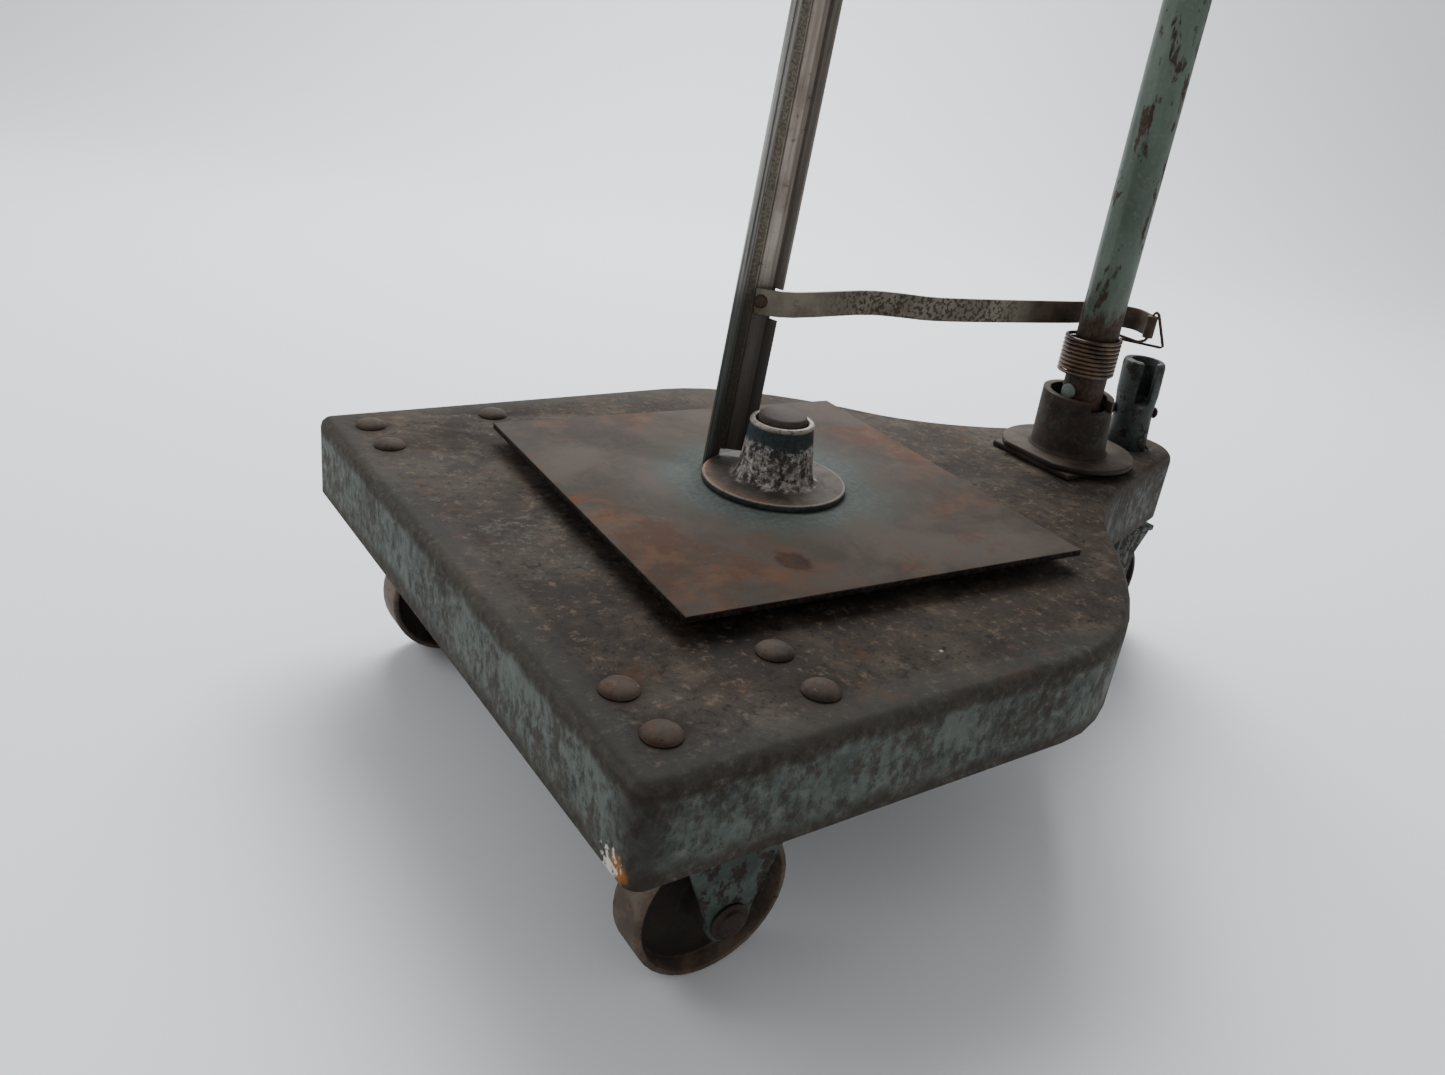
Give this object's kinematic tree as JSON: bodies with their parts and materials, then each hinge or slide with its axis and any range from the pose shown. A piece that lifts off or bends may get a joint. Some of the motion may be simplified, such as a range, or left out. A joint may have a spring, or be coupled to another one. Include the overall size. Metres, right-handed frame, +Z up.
{
  "type": "rolling utility cart",
  "caption": "Three-wheeled low steel dolly with a turning load plate on a conical hub, a lift-out tube handle, a strapped channel post and a steered rear caster.",
  "frame": {"origin": "on the floor, under the middle of the bounding box of deck and wheels", "axes": "+X from the broad front edge to the neck, +Y to the left side, +Z up"},
  "size_m": [0.692, 0.49, 0.9741],
  "materials": {
    "deck_steel": "matt, dusty rust over old grey-green paint",
    "green_paint": "matt chipped grey-green paint",
    "wheel_iron": "rusty brown cast iron",
    "fastener_iron": "dark rusty forged iron",
    "plate_steel": "purple-brown rolled steel with orange rust",
    "bare_steel": "bare steel, half bright, with speckled rust",
    "spring_steel": "rusty spring wire",
    "tube_paint": "satin blue-green paint with dark chips",
    "strap_paint": "khaki paint with dense dark rust specks",
    "bronze": "worn plain bearing bronze"
  },
  "bodies": {
    "deck": {"deck": "deck_steel", "right_fork_plate": "green_paint", "right_outer_leg": "green_paint", "right_inner_leg": "green_paint", "right_axle": "fastener_iron", "right_axle_nut": "fastener_iron", "left_fork_plate": "green_paint", "left_outer_leg": "green_paint", "left_inner_leg": "green_paint", "left_axle": "fastener_iron", "left_axle_nut": "fastener_iron", "deck_rivet_1": "fastener_iron", "deck_rivet_2": "fastener_iron", "deck_rivet_3": "fastener_iron", "deck_rivet_4": "fastener_iron", "deck_rivet_5": "fastener_iron", "deck_rivet_6": "fastener_iron", "deck_rivet_7": "fastener_iron", "deck_rivet_8": "fastener_iron", "king_pin": "plate_steel", "king_backing_plate": "deck_steel", "king_nut": "fastener_iron", "bearing_ring": "fastener_iron", "socket_pad": "deck_steel", "socket_disc": "deck_steel", "handle_socket": "deck_steel", "swivel_housing": "fastener_iron"},
    "right_wheel": {"right_wheel": "wheel_iron", "right_bush": "bronze"},
    "left_wheel": {"left_wheel": "wheel_iron", "left_bush": "bronze"},
    "turntable": {"thrust_washer": "bronze", "load_plate": "plate_steel", "hub_cone": "green_paint", "channel_post": "bare_steel", "strap": "strap_paint", "strap_rivet": "fastener_iron"},
    "bail": {"bail_wire": "spring_steel"},
    "handle": {"handle_tube": "tube_paint", "cross_pin": "green_paint", "handle_spring": "spring_steel", "handle_crossbar": "tube_paint"},
    "steered_caster": {"rear_fork_crown": "green_paint", "swivel_bearing": "fastener_iron", "steering_stem": "fastener_iron", "slotted_post": "green_paint", "post_pin": "fastener_iron", "rear_right_leg": "green_paint", "rear_left_leg": "green_paint", "rear_axle": "fastener_iron", "rear_axle_nut": "fastener_iron"},
    "rear_wheel": {"rear_wheel": "wheel_iron", "rear_bush": "bronze"}
  },
  "joints": [
    {"name": "right_wheel_spin", "type": "hinge", "parent": "deck", "child": "right_wheel", "pos_m": [-0.261, -0.1895, 0.05], "axis": [0, 1, 0], "continuous": true},
    {"name": "left_wheel_spin", "type": "hinge", "parent": "deck", "child": "left_wheel", "pos_m": [-0.261, 0.1895, 0.05], "axis": [0, 1, 0], "continuous": true},
    {"name": "steering_turn", "type": "hinge", "parent": "deck", "child": "steered_caster", "pos_m": [0.304, 0.008, 0.1], "axis": [0, 0, 1], "continuous": true},
    {"name": "rear_wheel_spin", "type": "hinge", "parent": "steered_caster", "child": "rear_wheel", "pos_m": [0.296, 0, 0.05], "axis": [0, 1, 0], "continuous": true},
    {"name": "turntable_turn", "type": "hinge", "parent": "deck", "child": "turntable", "pos_m": [-0.101, 0, 0.19], "axis": [0, 0, 1], "range_deg": [0, 320]},
    {"name": "bail_swing", "type": "hinge", "parent": "turntable", "child": "bail", "pos_m": [0.256, -0.016, 0.3], "axis": [0, 0, 1], "range_deg": [-140, 20]},
    {"name": "handle_lift", "type": "slide", "parent": "deck", "child": "handle", "axis": [0, 0, 1], "range_m": [0, 0.04]}
  ]
}
